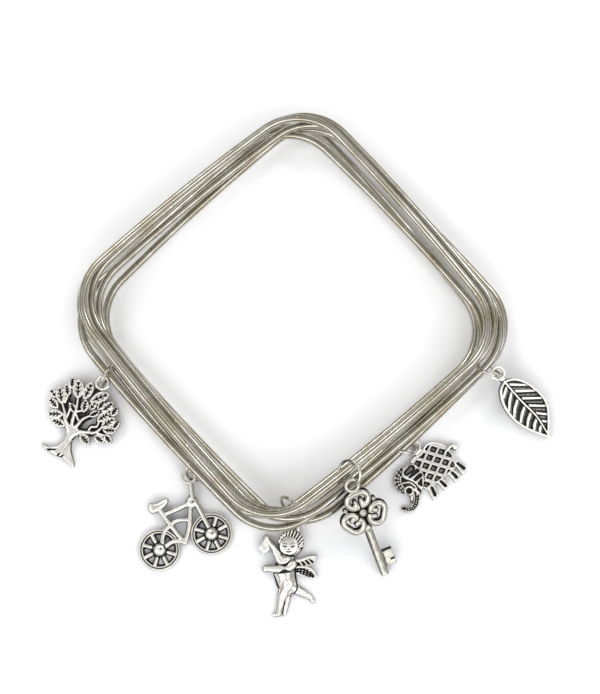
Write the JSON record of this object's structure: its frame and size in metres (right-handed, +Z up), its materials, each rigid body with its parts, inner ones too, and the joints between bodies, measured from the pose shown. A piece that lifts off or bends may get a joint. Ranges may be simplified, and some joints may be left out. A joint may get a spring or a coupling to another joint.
{
  "type": "charm bangle",
  "caption": "Pile of thin square wire bangles with rounded corners, hung with small cast charms on jump rings: tree, bicycle, cherub, key, elephant and leaf.",
  "frame": {"origin": "centre of the wrist opening, on the surface that the pile of bangles lies on", "axes": "+Z up through the opening, square to the bangles; +X towards the side without charms; -Y towards the side with the key, elephant and leaf charms"},
  "size_m": [0.0888, 0.0876, 0.0132],
  "materials": {
    "nickel_wire": "nickel-plated drawn wire, lightly worn",
    "ring_wire": "nickel-plated ring wire",
    "antique_silver": "cast zinc with antique silver plating, blackened in the recesses"
  },
  "bodies": {
    "root": {"bangle_1": "nickel_wire", "bangle_2": "nickel_wire", "bangle_3": "nickel_wire", "bangle_4": "nickel_wire", "bangle_5": "nickel_wire", "bangle_6": "nickel_wire", "ring_tree": "ring_wire", "ring_bicycle": "ring_wire", "ring_cherub": "ring_wire", "ring_key": "ring_wire", "ring_elephant": "ring_wire", "ring_leaf": "ring_wire", "charm_tree": "antique_silver", "charm_bicycle": "antique_silver", "charm_cherub": "antique_silver", "charm_key": "antique_silver", "charm_elephant": "antique_silver", "charm_leaf": "antique_silver"}
  },
  "joints": []
}
